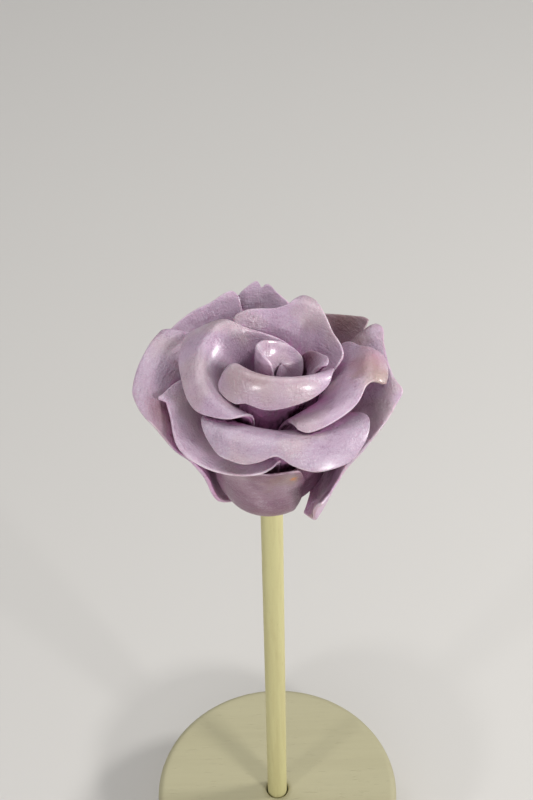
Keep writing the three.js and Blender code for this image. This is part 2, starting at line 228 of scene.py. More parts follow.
def spline(rows, x):
    """Even cubic B-spline over a list, going on straight past both of its ends."""
    x = np.asarray(x, float)
    rows = [np.asarray(row, float) + np.zeros_like(x) for row in rows]
    before = [rows[0] + (rows[0] - rows[1]) * k for k in (4, 3, 2, 1)]
    after = [rows[-1] + (rows[-1] - rows[-2]) * k for k in (1, 2, 3, 4)]
    table = np.stack(before + rows + after)
    place = np.floor(x).astype(int)
    f = x - place

    def at(k):
        index = np.clip(k + len(before), 0, len(table) - 1)
        return np.take_along_axis(table, index[None], 0)[0]

    near = (3 * f**3 - 6 * f**2 + 4) / 6
    following = (-3 * f**3 + 3 * f**2 + 3 * f + 1) / 6
    return (
        (1 - f) ** 3 / 6 * at(place - 1)
        + near * at(place)
        + following * at(place + 1)
        + f**3 / 6 * at(place + 2)
    )


def trumpet(layer, station):
    """Radius and height at a station of a layer."""
    layer, station = np.broadcast_arrays(np.asarray(layer, float), np.asarray(station, float))
    radii = [spline(shape["radius"], station) for shape in TRUMPETS]
    heights = [spline(shape["height"], station) for shape in TRUMPETS]
    return spline(radii, layer), spline(heights, layer)


def curve(knots, t):
    """Monotone cubic through pairs of place and value."""
    x = np.array([knot[0] for knot in knots], float)
    y = np.array([knot[1] for knot in knots], float)
    h = np.diff(x)
    rise = np.diff(y) / h
    slope = np.concatenate([rise[:1], np.zeros(len(x) - 2), rise[-1:]])
    for i in range(1, len(x) - 1):
        if rise[i - 1] * rise[i] > 0:
            shares = (2 * h[i] + h[i - 1]) / rise[i - 1] + (h[i] + 2 * h[i - 1]) / rise[i]
            slope[i] = 3 * (h[i - 1] + h[i]) / shares
    i = np.clip(np.searchsorted(x, t, side="right") - 1, 0, len(x) - 2)
    u = np.clip((t - x[i]) / h[i], 0, 1)
    return (
        y[i] * (1 + 2 * u) * (1 - u) ** 2
        + slope[i] * h[i] * u * (1 - u) ** 2
        + y[i + 1] * u * u * (3 - 2 * u)
        + slope[i + 1] * h[i] * u * u * (u - 1)
    )


def station_on(petal, t, up):
    return mix(petal["foot"], curve(petal["edge"], t), up)


def on_petal(petal, t, up):
    """Points of a petal's mid surface, t from -1 to 1 across it and up from 0 to 1."""
    station = station_on(petal, t, up)
    opened = smooth(station, *petal.get("opens", OPENS))
    layer = mix(across_petal(petal["wall"], t), across_petal(petal["lip"], t), opened)
    radius, height = trumpet(layer, station)
    width = petal["spread"] * mix(petal.get("foot_width", FOOT_WIDTH), 1, smooth(station, *FULL_WIDTH))
    angle = np.radians(petal["facing"] + width * t)
    x = radius * np.cos(angle) + SWAY["by"] * smooth(height, SWAY["from"], SWAY["to"])
    y = radius * np.sin(angle)
    out = np.maximum(np.hypot(x, y), 1e-6)
    lift = np.maximum(out - LIFT["from"], 0) * (LIFT["all"] + LIFT["back"] * y / out)
    sink = across_petal(petal.get("sink", (0, 0, 0)), t) * smooth(station, *SINK)
    return np.stack([x, y, height + lift - sink], -1)


def even_grid(petal, columns, rows):
    """Points on an even grid over a petal."""
    t, up = np.meshgrid(np.linspace(-1, 1, columns), np.linspace(0, 1, rows), indexing="ij")
    return on_petal(petal, t, up)


def outward(petal, t, up):
    """Directions that point out of a petal's outer face."""
    along = on_petal(petal, np.minimum(t + NUDGE, 1), up) - on_petal(petal, np.maximum(t - NUDGE, -1), up)
    rise = on_petal(petal, t, np.minimum(up + NUDGE, 1)) - on_petal(petal, t, np.maximum(up - NUDGE, 0))
    out = np.cross(along, rise)
    return out / np.maximum(np.linalg.norm(out, axis=-1, keepdims=True), 1e-12)


def shut_roll(points, t, up):
    """Where the inner face of a roll lies, instead of close behind its outer face."""
    rim = np.maximum((up - ROLL["turns_in"]) / (1 - ROLL["turns_in"]), 0)
    reach = mix(mix(ROLL["slot"], 1, rim), 1, smooth(t, *ROLL["flap"]))
    middle = SWAY["by"] * smooth(ROLL["floor"], SWAY["from"], SWAY["to"])
    height = mix(ROLL["floor"], points[..., 2], np.maximum(1 - up / ROLL["turns_in"], reach**2))
    return np.stack([mix(middle, points[..., 0], reach), points[..., 1] * reach, height], -1)


def arc(points, axis):
    """Length along a grid of points from its first row or column to each point."""
    steps = np.linalg.norm(np.diff(points, axis=axis), axis=-1)
    start = np.zeros_like(np.take(steps, [0], axis))
    return np.concatenate([start, np.cumsum(steps, axis)], axis)


def spaced(length, rim, first_rim):
    """Places from 0 to 1 along a length, close together where a rim is rounded off."""
    round_off = rim * (1 - np.cos(np.linspace(0, math.pi / 2, RIM_ROWS + 1)))
    start = round_off if first_rim else np.array([0.0])
    count = max(int((length - 2 * rim) / GRID), 4)
    between_rims = np.linspace(start[-1], length - rim, count)[1:-1]
    return np.concatenate([start, between_rims, length - round_off[::-1]]) / length


def petal_sheet(petal, paste):
    """The mid surface of a petal, with what the petal tree and the paste need at each of its points."""
    rim = paste.rim / MM / 2
    probe = even_grid(petal, *PROBE)
    wide = float(np.median(arc(probe, 0)[-1]))
    tall = float(np.median(arc(probe, 1)[:, -1]))
    t, up = np.meshgrid(spaced(wide, rim, True) * 2 - 1, spaced(tall, rim, False), indexing="ij")
    points = on_petal(petal, t, up)
    out = outward(petal, t, up)
    across, high = arc(points, 0), arc(points, 1)
    from_sides = np.minimum(across, across[-1:] - across)
    from_edge = np.minimum(from_sides, high[:, -1:] - high)
    station = station_on(petal, t, up)
    full = mix(paste.wall, paste.lip, smooth(station, *THICKENS)) / MM
    share = np.abs(np.arcsin(np.clip(t, -1, 1))) * 2 / math.pi
    inset = np.minimum(1, np.minimum((1 - up) * EDGE_TAPER["top"], (1 - share) * EDGE_TAPER["side"]))
    thick = mix(2 * rim, full, inset ** EDGE_TAPER["power"])
    inside = np.clip(np.minimum(from_edge, high) / rim, 0, 1)
    half = thick / 2 * np.sqrt(1 - (1 - inside) ** 2)
    middle = across[len(across) // 2]
    sheet = {
        "points": points,
        "out": out,
        "half": half,
        "sheet": np.stack([across - middle, high, np.zeros_like(high)], -1),
        "rim": from_edge,
        "opened": smooth(station, *LOOKS_OPENED),
    }
    if petal.get("is_roll"):
        inner = points - out * half[..., None]
        share = smooth(from_sides, 0, ROLL["side"]) * smooth(high, 0, ROLL["foot"])
        sheet["fill"] = (shut_roll(inner, t, up) - inner) * share[..., None]
    sheet["nook_1"], sheet["nook_2"] = petal_nooks(sheet)
    return sheet


def grid_quads(columns, rows):
    """Corners of the quads of a grid of points."""
    index = np.arange(columns * rows).reshape(columns, rows)
    corners = [index[:-1, :-1], index[1:, :-1], index[1:, 1:], index[:-1, 1:]]
    return np.stack(corners, -1).reshape(-1, 4)


def all_petals_tree():
    """A search tree of every petal's mid surface on a coarse grid, made once."""
    if not NOOK_TREE:
        grid = NOOKS["columns"], NOOKS["rows"]
        points = [even_grid(petal, *grid).reshape(-1, 3) for petal in PETALS.values()]
        quads = [grid_quads(*grid) + i * grid[0] * grid[1] for i in range(len(points))]
        places, faces = np.concatenate(points), np.concatenate(quads)
        NOOK_TREE.append(BVHTree.FromPolygons(places.tolist(), faces.tolist()))
    return NOOK_TREE[0]


def petal_nooks(sheet):
    """How shut in each point of a petal's two faces is, from 0 in the open to 1 in a narrow nook."""
    search = all_petals_tree()
    points = sheet["points"]
    picked = [np.unique(np.linspace(0, count - 1, part).astype(int))
              for count, part in zip(points.shape, (NOOKS["columns"], NOOKS["rows"]))]
    chance = np.random.default_rng(NOOKS["seed"])
    found = []
    for side in (1, -1):
        seen = np.zeros((len(picked[0]), len(picked[1])))
        for i, column in enumerate(picked[0]):
            for j, row in enumerate(picked[1]):
                out = sheet["out"][column, row] * side
                start = points[column, row] + out * NOOKS["start"]
                rays = chance.normal(size=(NOOKS["rays"], 3))
                rays = rays / np.linalg.norm(rays, axis=1, keepdims=True) + out * NOOKS["lean"]
                for ray in rays:
                    distance = search.ray_cast(start.tolist(), ray.tolist(), NOOKS["reach"])[3]
                    seen[i, j] += 1 if distance is None else distance / NOOKS["reach"]
        shut = 1 - seen / NOOKS["rays"]
        fine = np.array([np.interp(np.arange(points.shape[1]), picked[1], line) for line in shut])
        fine = np.array([np.interp(np.arange(points.shape[0]), picked[0], line) for line in fine.T]).T
        found.append(smooth(fine, *NOOKS["from"]))
    return found


def grid_mesh(name, sheet):
    """A mesh of quads over a grid of points, which keeps the grid's other values as attributes."""
    points = sheet["points"] * MM + np.array([0, 0, FLOWER_FOOT * MM])
    quads = grid_quads(*points.shape[:2])
    mesh = bpy.data.meshes.new(name)
    mesh.from_pydata(points.reshape(-1, 3).tolist(), [], quads.tolist())
    for key, values in sheet.items():
        if key != "points":
            kind, field = ("FLOAT_VECTOR", "vector") if values.ndim == 3 else ("FLOAT", "value")
            stored = mesh.attributes.new(key, kind, "POINT")
            stored.data.foreach_set(field, values.astype(np.float32).ravel())
    return mesh


# ---------------------------------------------------------------- nodes
SOCKET_TYPES = {float: "Float", int: "Int"}


class Value:
    """An output of a node. Reckoning with it adds math nodes to its tree."""

    def __init__(self, socket):
        self.socket = socket
        self.tree = socket.id_data

    def __add__(self, other):
        return calc("ADD", self, other)

    def __sub__(self, other):
        return calc("SUBTRACT", self, other)

    def __mul__(self, other):
        return calc("MULTIPLY", self, other)

    def __truediv__(self, other):
        return calc("DIVIDE", self, other)

    def __rtruediv__(self, other):
        return add_node(self.tree, "ShaderNodeMath", {0: other, 1: self}, operation="DIVIDE")


def fill_in(node, values):
    """Joins or sets a node's inputs, given by name or number."""
    for key, value in values.items():
        if isinstance(value, Value):
            value.tree.links.new(value.socket, node.inputs[key])
        else:
            node.inputs[key].default_value = value


def add_node(tree, kind, inputs=None, output=0, **settings):
    """Adds a node, sets it up, fills in its inputs and returns one of its outputs."""
    node = tree.nodes.new(kind)
    for key, value in settings.items():
        setattr(node, key, value)
    fill_in(node, inputs or {})
    return Value(node.outputs[output])


def by_name(node):
    return {socket.name: Value(socket) for socket in node.outputs if socket.name}


def calc(operation, first, *others):
    keys = dict(enumerate((first, *others)))
    return add_node(first.tree, "ShaderNodeMath", keys, operation=operation)


def vector(operation, first, other):
    keys = {0: first, "Scale" if operation == "SCALE" else 1: other}
    output = "Value" if operation == "DISTANCE" else "Vector"
    return add_node(first.tree, "ShaderNodeVectorMath", keys, output, operation=operation)


def remap(value, low, high, to_low=0.0, to_high=1.0):
    """Goes smoothly from one value to another as `value` goes from low to high."""
    keys = {"Value": value, "From Min": low, "From Max": high, "To Min": to_low, "To Max": to_high}
    return add_node(value.tree, "ShaderNodeMapRange", keys, interpolation_type="SMOOTHSTEP")


def blend(factor, first, second, blend_type="MIX"):
    keys = {0: factor, 6: first, 7: second}
    return add_node(first.tree, "ShaderNodeMix", keys, 2, data_type="RGBA", blend_type=blend_type)


def noise(place, stretch, scale, detail=2.0, roughness=0.5, seed=0.0, distortion=0.0):
    """Noise from 0 to 1. A stretch draws it out where it is less than 1."""
    if stretch:
        place = vector("MULTIPLY", place, stretch)
    keys = {"Vector": place, "W": seed, "Scale": scale, "Detail": detail, "Roughness": roughness,
            "Distortion": distortion}
    return add_node(place.tree, "ShaderNodeTexNoise", keys, noise_dimensions="4D")


def new_group(name, kind, inputs, outputs):
    """A group whose sockets each name a type or a default. Returns it, its inputs and its output node."""
    tree = bpy.data.node_groups.new(name, kind)
    for in_out, sockets in (("INPUT", inputs), ("OUTPUT", outputs)):
        for socket_name, given in sockets.items():
            is_type = isinstance(given, str)
            socket_type = "NodeSocket" + (given if is_type else SOCKET_TYPES[type(given)])
            socket = tree.interface.new_socket(socket_name, in_out=in_out, socket_type=socket_type)
            if not is_type:
                socket.default_value = given
    return tree, by_name(tree.nodes.new("NodeGroupInput")), tree.nodes.new("NodeGroupOutput")


def finish_tree(geometry, material, result):
    """Ends a geometry tree with plain, smooth faces in one material."""
    tree = geometry.tree
    plain = add_node(tree, "GeometryNodeRealizeInstances", {0: geometry})
    shaded = add_node(tree, "GeometryNodeSetShadeSmooth", {0: plain})
    keys = {"Geometry": shaded, "Material": material}
    fill_in(result, {0: add_node(tree, "GeometryNodeSetMaterial", keys)})
    return tree


def moved_by(geometry, offset):
    return add_node(geometry.tree, "GeometryNodeSetPosition", {"Geometry": geometry, "Offset": offset})


def merged(geometry):
    """Joins points that lie in one place."""
    keys = {"Geometry": geometry, "Distance": 0.001 * MM}
    return add_node(geometry.tree, "GeometryNodeMergeByDistance", keys)


def attribute(tree, name, data_type="FLOAT"):
    return add_node(tree, "GeometryNodeInputNamedAttribute", {"Name": name}, data_type=data_type)


def petal_tree():
    """Dents and wrinkles a sheet, and gives it two faces that meet at the rim."""
    tree, given, result = new_group("pressed petal", "GeometryNodeTree", {
        "Geometry": "Geometry", "Dent Depth": 0.0, "Dent Size": 4.0, "Wave Depth": 0.0, "Wave Size": 6.0,
        "Wave Reach": 4.0, "Wrinkle Depth": 0.0, "Wrinkle Size": 1.0, "Seed": 0, "Material": "Material",
    }, {"Geometry": "Geometry"})
    sheet, out, fill = (attribute(tree, name, "FLOAT_VECTOR") for name in ("sheet", "out", "fill"))

    def bumps(kind, stretch, detail=1.0):
        value = noise(sheet, stretch, 1.0 / given[kind + " Size"], detail, 0.5, given["Seed"])
        return (value - 0.5) * given[kind + " Depth"]

    near_rim = remap(attribute(tree, "rim"), given["Wave Reach"], 0.0)
    waves = bumps("Wave", (1, 0.35, 1)) * near_rim
    moved = bumps("Dent", (1, 1, 1)) + waves + bumps("Wrinkle", (1, 0.22, 1), 3.0)
    faces = []
    for side, nook in ((1.0, "nook_1"), (-1.0, "nook_2")):
        reach = calc("MULTIPLY_ADD", attribute(tree, "half"), side, moved) * MM
        offset = vector("SCALE", out, reach)
        if side < 0:
            offset = vector("ADD", offset, vector("SCALE", fill, MM))
        face = moved_by(given["Geometry"], offset)
        keys = {"Geometry": face, "Name": "nook", "Value": attribute(tree, nook)}
        faces.append(add_node(tree, "GeometryNodeStoreNamedAttribute", keys))
    inner = add_node(tree, "GeometryNodeFlipFaces", {0: faces[1]})
    joined = add_node(tree, "GeometryNodeJoinGeometry", {0: inner})
    fill_in(joined.socket.node, {0: faces[0]})
    return finish_tree(merged(joined), given["Material"], result)


def turned_tree():
    """Turns an outline about the upright axis. Its x is the radius, and it starts and ends on the axis."""
    tree, given, result = new_group("turned piece", "GeometryNodeTree", {
        "Geometry": "Geometry", "Sides": 96, "Unevenness": 0.0, "Unevenness Size": 10.0, "Seed": 0,
        "Material": "Material",
    }, {"Geometry": "Geometry"})
    outline, sides = given["Geometry"], given["Sides"]
    points = add_node(tree, "GeometryNodeAttributeDomainSize", {0: outline}, "Point Count")
    grid = add_node(tree, "GeometryNodeMeshGrid", {"Vertices X": sides + 1.0, "Vertices Y": points})
    index = add_node(tree, "GeometryNodeInputIndex")
    column = calc("FLOOR", (index + 0.5) / points)
    row = index - column * points
    position = add_node(tree, "GeometryNodeInputPosition")
    keys = {"Geometry": outline, "Value": position, "Index": row}
    place = add_node(tree, "GeometryNodeSampleIndex", keys, data_type="FLOAT_VECTOR")
    keys = {"Vector": place, "Axis": (0, 0, 1), "Angle": column * math.tau / sides}
    swept = add_node(tree, "ShaderNodeVectorRotate", keys, rotation_type="AXIS_ANGLE")
    shell = add_node(tree, "GeometryNodeSetPosition", {"Geometry": grid, "Position": swept})
    scale = 1 / MM / given["Unevenness Size"]
    reach = (noise(position, None, scale, 2.0, 0.5, given["Seed"]) - 0.5) * given["Unevenness"]
    offset = vector("SCALE", add_node(tree, "GeometryNodeInputNormal"), reach * MM)
    return finish_tree(moved_by(merged(shell), offset), given["Material"], result)


def new_object(name, data):
    made = bpy.data.objects.new(name, data)
    bpy.context.collection.objects.link(made)
    return made


def made_by(tree, name, mesh, values):
    """A piece at the origin whose mesh is what a geometry tree makes of the one given."""
    piece = new_object(name, mesh)
    modifier = piece.modifiers.new(tree.name, "NODES")
    modifier.node_group = tree
    for item in tree.interface.items_tree:
        if item.item_type == "SOCKET" and item.in_out == "INPUT" and item.name in values:
            modifier[item.identifier] = values[item.name]
    evaluated = piece.evaluated_get(bpy.context.evaluated_depsgraph_get())
    made = bpy.data.meshes.new_from_object(evaluated)
    if len(made.polygons) == 0:
        raise RuntimeError(f"the tree {tree.name} made nothing for {name}")
    piece.modifiers.remove(modifier)
    piece.data = made
    made.name = name
    bpy.data.meshes.remove(mesh)
    return piece


def once(name, make):
    """The node group of that name, made if it isn't there yet."""
    return bpy.data.node_groups.get(name) or make()


def stand_in_for(piece, node):
    """The piece moves with the lollipop and shows in place of a solid."""
    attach(piece, BODY)
    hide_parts(node)


# ---------------------------------------------------------------- finishes
def paste_colour_group():
    """Colour and roughness of sugar paste, with painted shade deep low in the flower and darkest in nooks,
    and a paler rim that is partly a painted highlight.
    """
    tree, g, result = new_group("paste colour", "ShaderNodeTree", {
        "Place": "Vector", "Sheet": "Vector", "Rim": 1.0, "Opened": 1.0, "Nook": 0.0, "Paste": "Color",
        "Warm": "Color", "Deep Shade": "Color", "Nook Shade": "Color", "Pale": "Color", "Rim Width": 0.3,
        "Mottle": 0.85, "Gloss": 0.36,
    }, {"Color": "Color", "Roughness": "Float"})
    clouds = noise(g["Place"], None, 260.0, 3.0, 0.55, 1.0)
    patches = noise(g["Place"], None, 130.0, 2.0, 0.5, 9.0)
    streaks = noise(g["Sheet"], (0.5, 2.2, 1), 1.0, 4.0, 0.6, 2.0)
    specks = noise(g["Place"], None, 4200.0, 2.0, 0.7, 3.0)
    shade = clouds * 0.35 + streaks * 0.25 + specks * 0.4
    warmed = blend(remap(patches, 0.45, 0.65, 0.0, 0.8), g["Paste"], g["Warm"])
    # Painted shade: deeper low in the flower and in nooks.
    painted_shade_share = calc("MAXIMUM", remap(g["Opened"], 1.0, 0.0) * 0.7, remap(g["Nook"], 0.12, 0.6))
    shaded_paste = blend(painted_shade_share, warmed, g["Deep Shade"])
    darker = blend(1.0, shaded_paste, (0.5, 0.36, 0.46, 1), "MULTIPLY")
    lighter = blend(0.3, shaded_paste, (1, 1, 1, 1))
    mottled = blend(remap(shade, 0.5, 0.3) * g["Mottle"], shaded_paste, darker)
    mottled = blend(remap(shade, 0.5, 0.7) * g["Mottle"], mottled, lighter)
    width = g["Rim Width"] * (streaks + 0.5)
    # A paler rim: partly the paste's own thin edge, partly a painted highlight where the edge catches the
    # light.
    edge = remap(g["Rim"], width, 0.0) * remap(clouds, 0.35, 0.65, 0.05, 0.6)
    rim_paled_and_lit = blend(edge * remap(g["Opened"], 0.2, 0.8), mottled, g["Pale"])
    fill_in(result, {
        # Painted shade: the narrowest nooks are painted nearly black.
        "Color": blend(remap(g["Nook"], 0.66, 1.0), rim_paled_and_lit, g["Nook Shade"]),
        "Roughness": g["Gloss"] + (clouds - 0.5) * 0.4,
    })
    return tree


def paste_skin_group():
    """Height of the fine wrinkles and pores in the skin of drying paste, in millimetres."""
    tree, g, result = new_group("paste skin", "ShaderNodeTree", {
        "Place": "Vector", "Sheet": "Vector", "Wrinkle Size": 0.5, "Wrinkles": 0.24, "Pores": 0.1,
    }, {"Height": "Float"})
    scale = 1.0 / g["Wrinkle Size"]
    folds = noise(g["Sheet"], (0.35, 1.0, 1.0), scale, 3.0, 0.6, 4.0, 0.6)
    across = noise(g["Sheet"], (1.0, 0.4, 1.0), scale, 2.0, 0.5, 8.0)
    where = remap(noise(g["Place"], None, 210.0, 1.0, 0.5, 5.0), 0.38, 0.6, 0.25, 1.0)
    ridges = (folds + across * 0.6) * where * g["Wrinkles"]
    pores = noise(g["Place"], None, 2900.0, 2.0, 0.6, 6.0) * g["Pores"]
    fill_in(result, {"Height": ridges + pores})
    return tree


def stain_and_shade_group():
    """Tints a colour in an uneven spot about a place."""
    tree, g, result = new_group("stain_and_shade", "ShaderNodeTree", {
        "Color": "Color", "Spot Colour": "Color", "Place": "Vector", "Centre": "Vector", "Size": 3.0,
        "Amount": 0.5,
    }, {"Color": "Color"})
    away = vector("DISTANCE", g["Place"], g["Centre"]) / MM
    uneven = noise(g["Place"], None, 420.0, 3.0, 0.6, 7.0) * 1.4
    near = remap(away * uneven, g["Size"], 0.0)
    fill_in(result, {"Color": blend(near * g["Amount"], g["Color"], g["Spot Colour"])})
    return tree


def wood_group():
    """Colour, roughness and height of pale, straight-grained wood whose grain runs along Z of Place."""
    tree, g, result = new_group("pale wood", "ShaderNodeTree", {
        "Place": "Vector", "Pale": "Color", "Dark": "Color", "Grain Size": 1.0, "Contrast": 0.5,
    }, {"Color": "Color", "Roughness": "Float", "Height": "Float"})
    scale = 1 / MM / g["Grain Size"]
    bands = noise(g["Place"], (1.0, 1.0, 0.05), scale * 0.35, 2.0, 0.5, 11.0, 0.3)
    fibres = noise(g["Place"], (1.0, 1.0, 0.05), scale * 2.0, 4.0, 0.65, 12.0)
    pits = remap(noise(g["Place"], (1.0, 1.0, 0.14), scale * 4.0, 1.0, 0.5, 13.0), 0.36, 0.26)
    shade = bands * 0.5 + fibres * 0.5
    grain = blend(remap(shade, 0.62, 0.36) * g["Contrast"], g["Pale"], g["Dark"])
    fill_in(result, {
        "Color": blend(pits * 0.35, grain, g["Dark"]),
        "Roughness": remap(fibres, 0.3, 0.7, 0.5, 0.66),
        "Height": fibres * 0.03 - pits * 0.03,
    })
    return tree


def new_material(name):
    """A material with only its shader and output. Returns it, its tree and the shader."""
    material = bpy.data.materials.new(name)
    material.use_nodes = True
    tree = material.node_tree
    tree.nodes.clear()
    shader = add_node(tree, "ShaderNodeBsdfPrincipled")
    fill_in(tree.nodes.new("ShaderNodeOutputMaterial"), {0: shader})
    return material, tree, shader.socket.node


def place_group(tree, name, make, values):
    return by_name(add_node(tree, "ShaderNodeGroup", values, node_tree=once(name, make)).socket.node)


def bump(height):
    """The normal that a height in millimetres gives."""
    return add_node(height.tree, "ShaderNodeBump", {"Height": height, "Distance": MM})


def read(tree, name, output="Fac"):
    return add_node(tree, "ShaderNodeAttribute", None, output, attribute_name=name)


def object_place(tree):
    return add_node(tree, "ShaderNodeTexCoord", None, "Object")


def scaled(colour, factor):
    return [channel * factor for channel in colour[:3]] + [1.0]


# The finish of petals, where a group's own look says nothing else.
PLAIN_LOOK = {
    "tint": 1.0, "rim": 0.3, "mottle": 0.85, "gloss": 0.36, "coat": 0.55, "wrinkle_size": 0.5,
    "wrinkles": 0.24, "pores": 0.1, "stains_and_shade": [],
}


def paste_material(name, paste, look):
    """Satin sugar paste. A look says how this group of petals differs."""
    found = bpy.data.materials.get(name)
    if found:
        return found
    material, tree, shader = new_material(name)
    look = {**PLAIN_LOOK, **look}
    place, sheet = object_place(tree), read(tree, "sheet", "Vector")
    # Deep Shade and Nook Shade paint shade into the paste; the pale rim is partly a painted highlight.
    colour = place_group(tree, "paste colour", paste_colour_group, {
        "Place": place,
        "Sheet": sheet,
        **{name.title(): read(tree, name) for name in ("rim", "opened", "nook")},
        "Paste": scaled(look.get("paste", paste.colour), look["tint"]),
        "Warm": scaled(paste.warm_colour, look["tint"]),
        "Deep Shade": scaled(look.get("deep", paste.deep_shade_colour), look["tint"]),
        "Nook Shade": list(paste.nook_shade_colour),
        "Pale": list(paste.rim_tone_and_highlight_colour),
        "Rim Width": look["rim"],
        "Mottle": look["mottle"],
        "Gloss": look["gloss"],
    })
    painted = colour["Color"]
    for stain_and_shade, centre, size, amount in look["stains_and_shade"]:
        painted = place_group(tree, "stain_and_shade", stain_and_shade_group, {
            "Color": painted, "Spot Colour": stain_and_shade, "Place": place, "Centre": [c * MM for c in centre],
            "Size": size, "Amount": amount,
        })["Color"]
    skin = place_group(tree, "paste skin", paste_skin_group, {
        "Place": place,
        "Sheet": sheet,
        "Wrinkle Size": look["wrinkle_size"],
        "Wrinkles": look["wrinkles"],
        "Pores": look["pores"],
    })
    fill_in(shader, {
        "Base Color": painted,
        "Roughness": colour["Roughness"],
        "Normal": bump(skin["Height"]),
        "Coat Weight": look["coat"],
        "Coat Roughness": 0.22,
        "Subsurface Weight": 0.25,
        "Subsurface Radius": (1.0, 0.45, 0.6),
        "Subsurface Scale": 0.9 * MM,
    })
    return material


def wood_material(name, settings, turn, grain, contrast):
    """Pale bare wood. The turn brings its grain from the upright axis to another."""
    found = bpy.data.materials.get(name)
    if found:
        return found
    material, tree, shader = new_material(name)
    wood = place_group(tree, "pale wood", wood_group, {
        "Place": add_node(tree, "ShaderNodeMapping", {"Vector": object_place(tree), "Rotation": turn}),
        "Pale": list(settings.colour),
        "Dark": list(settings.grain_colour),
        "Grain Size": grain,
        "Contrast": contrast,
    })
    fill_in(shader, {
        "Base Color": wood["Color"],
        "Roughness": wood["Roughness"],
        "Normal": bump(wood["Height"]),
        "Specular IOR Level": 0.35,
    })
    return material


# ---------------------------------------------------------------- sizes and colours
def number(name, description, default, unit="NONE", **limits):
    return FloatProperty(name=name, description=description, default=default, min=0.0, unit=unit, **limits)


def size(name, description, millimetres, top):
    return number(name, description, millimetres * MM, "LENGTH", max=top * MM, precision=5)


def colour(name, description, *rgb):
    return FloatVectorProperty(name=name, description=description, default=(*rgb, 1.0), size=4, min=0.0,
                               max=1.0, subtype="COLOR")


class PasteSettings(bpy.types.PropertyGroup):
    """The sugar paste of the petals"""

    wall: size("Wall", "Thickness of a petal low down", 0.75, 3)
    lip: size("Lip", "Thickness of a petal's opened lip", 1.05, 3)
    rim: size("Rim", "Thickness of a petal at its edge", 0.4, 2)
    dent_depth: size("Dent Depth", "How far fingers pressed a petal in and out", 0.3, 2)
    dent_size: size("Dent Size", "How wide those dents are", 5.5, 30)
    wave_depth: size("Wave Depth", "How far a lip waves near its edge", 0.5, 3)
    wave_size: size("Wave Size", "How long those waves are", 7, 30)
    wrinkle_depth: size("Wrinkle Depth", "Depth of the skin's larger wrinkles", 0.05, 1)
    wrinkle_size: size("Wrinkle Size", "Width of the skin's larger wrinkles", 1.1, 10)
    seed: IntProperty(name="Seed", description="Draws other dents and wrinkles", default=3, min=0)
    colour: colour("Paste", "Colour of the paste", 0.46, 0.325, 0.43)
    # Painted shade colour for low in the flower.
    deep_shade_colour: colour("Deep Shade", "Colour of the paste deep in the flower", 0.52, 0.25, 0.44)
    warm_colour: colour("Warm", "Colour of the paste's warmer patches", 0.47, 0.35, 0.385)
    # Painted shade colour for the narrowest nooks.
    nook_shade_colour: colour("Nook Shade Colour", "Colour of the paste in the narrowest nooks", 0.05, 0.004, 0.028)
    # Partly the paste's own thin edges, partly a painted highlight on them.
    rim_tone_and_highlight_colour: colour("Rim Colour", "Colour of thin, dried edges", 0.68, 0.6, 0.63)


class HolderSettings(bpy.types.PropertyGroup):
    """The round holder"""

    radius: size("Radius", "Radius of the disc", float(HOLDER_HIGH[0] - HOLDER_LOW[0]) / 2, 200)
    height: size("Height", "Height of the disc", float(HOLDER_HIGH[2]), 200)
    top_round: size("Top Rounding", "Rounding of its upper edge", 1.5, 20)
    foot_round: size("Foot Rounding", "Rounding of its lower edge", 0.8, 20)
    colour: colour("Wood", "Colour of the disc's wood", 0.38, 0.35, 0.22)
    grain_colour: colour("Grain", "Colour of its grain", 0.34, 0.31, 0.19)


class StickSettings(bpy.types.PropertyGroup):
    """The lollipop stick"""

    radius: size("Radius", "Radius of the stick", float(STICK_HIGH[0] - STICK_LOW[0]) / 2, 20)
    end_round: size("End Rounding", "Rounding of its ends", 0.4, 5)
    colour: colour("Wood", "Colour of the stick's wood", 0.54, 0.5, 0.25)
    grain_colour: colour("Grain", "Colour of its grain", 0.44, 0.38, 0.18)


class StageSettings(bpy.types.PropertyGroup):
    """Floor, lights and camera"""

    floor_colour: colour("Floor", "Colour of the floor", 0.55, 0.53, 0.5)
    key_power: number("Key", "Power of the main light", 1.3, "POWER")
    fill_power: number("Fill", "Power of the fill lights", 0.75, "POWER")
    ambient: number("Ambient", "Strength of the light all round", 0.3)
    elevation: number("Elevation", "How steeply the camera looks down", math.radians(48.1), "ROTATION")
    distance: size("Distance", "From the camera to the flower", 333, 5000)


class RoseSettings(bpy.types.PropertyGroup):
    """All sizes and colours of the rose lollipop"""

    paste: PointerProperty(type=PasteSettings)
    holder: PointerProperty(type=HolderSettings)
    stick: PointerProperty(type=StickSettings)
    stage: PointerProperty(type=StageSettings)


# ---------------------------------------------------------------- pieces
CHAMFER = 0.25  # of the holder's hole, in millimetres
ROUND_STEPS = 8  # faces round a rounded edge of the holder
STICK_ROUND_STEPS = 4  # the same for the stick's ends


def outline_mesh(name, outline):
    """An open line through points of radius and height, in millimetres."""
    points = [(radius * MM, 0, height * MM) for radius, height in outline]
    mesh = bpy.data.meshes.new(name)
    mesh.from_pydata(points, [(i, i + 1) for i in range(len(points) - 1)], [])
    return mesh


def quarter_round(radius, height, reach, start, end, steps=ROUND_STEPS):
    """Points of a quarter circle about (radius, height), from one direction to another in degrees."""
    angles = np.radians(np.linspace(start, end, steps + 1))
    return [(radius + reach * math.cos(a), height + reach * math.sin(a)) for a in angles]


def between(start, end, steps):
    """Points on a straight line, without its ends."""
    return [tuple(mix(np.array(start), np.array(end), k / steps)) for k in range(1, steps)]


def turn_piece(name, outline, sides, unevenness, unevenness_size, material):
    """A piece made by turning an outline."""
    values = {"Sides": sides, "Unevenness": unevenness, "Unevenness Size": unevenness_size, "Seed": 1,
              "Material": material}
    return made_by(once("turned piece", turned_tree), name, outline_mesh(name, outline), values)
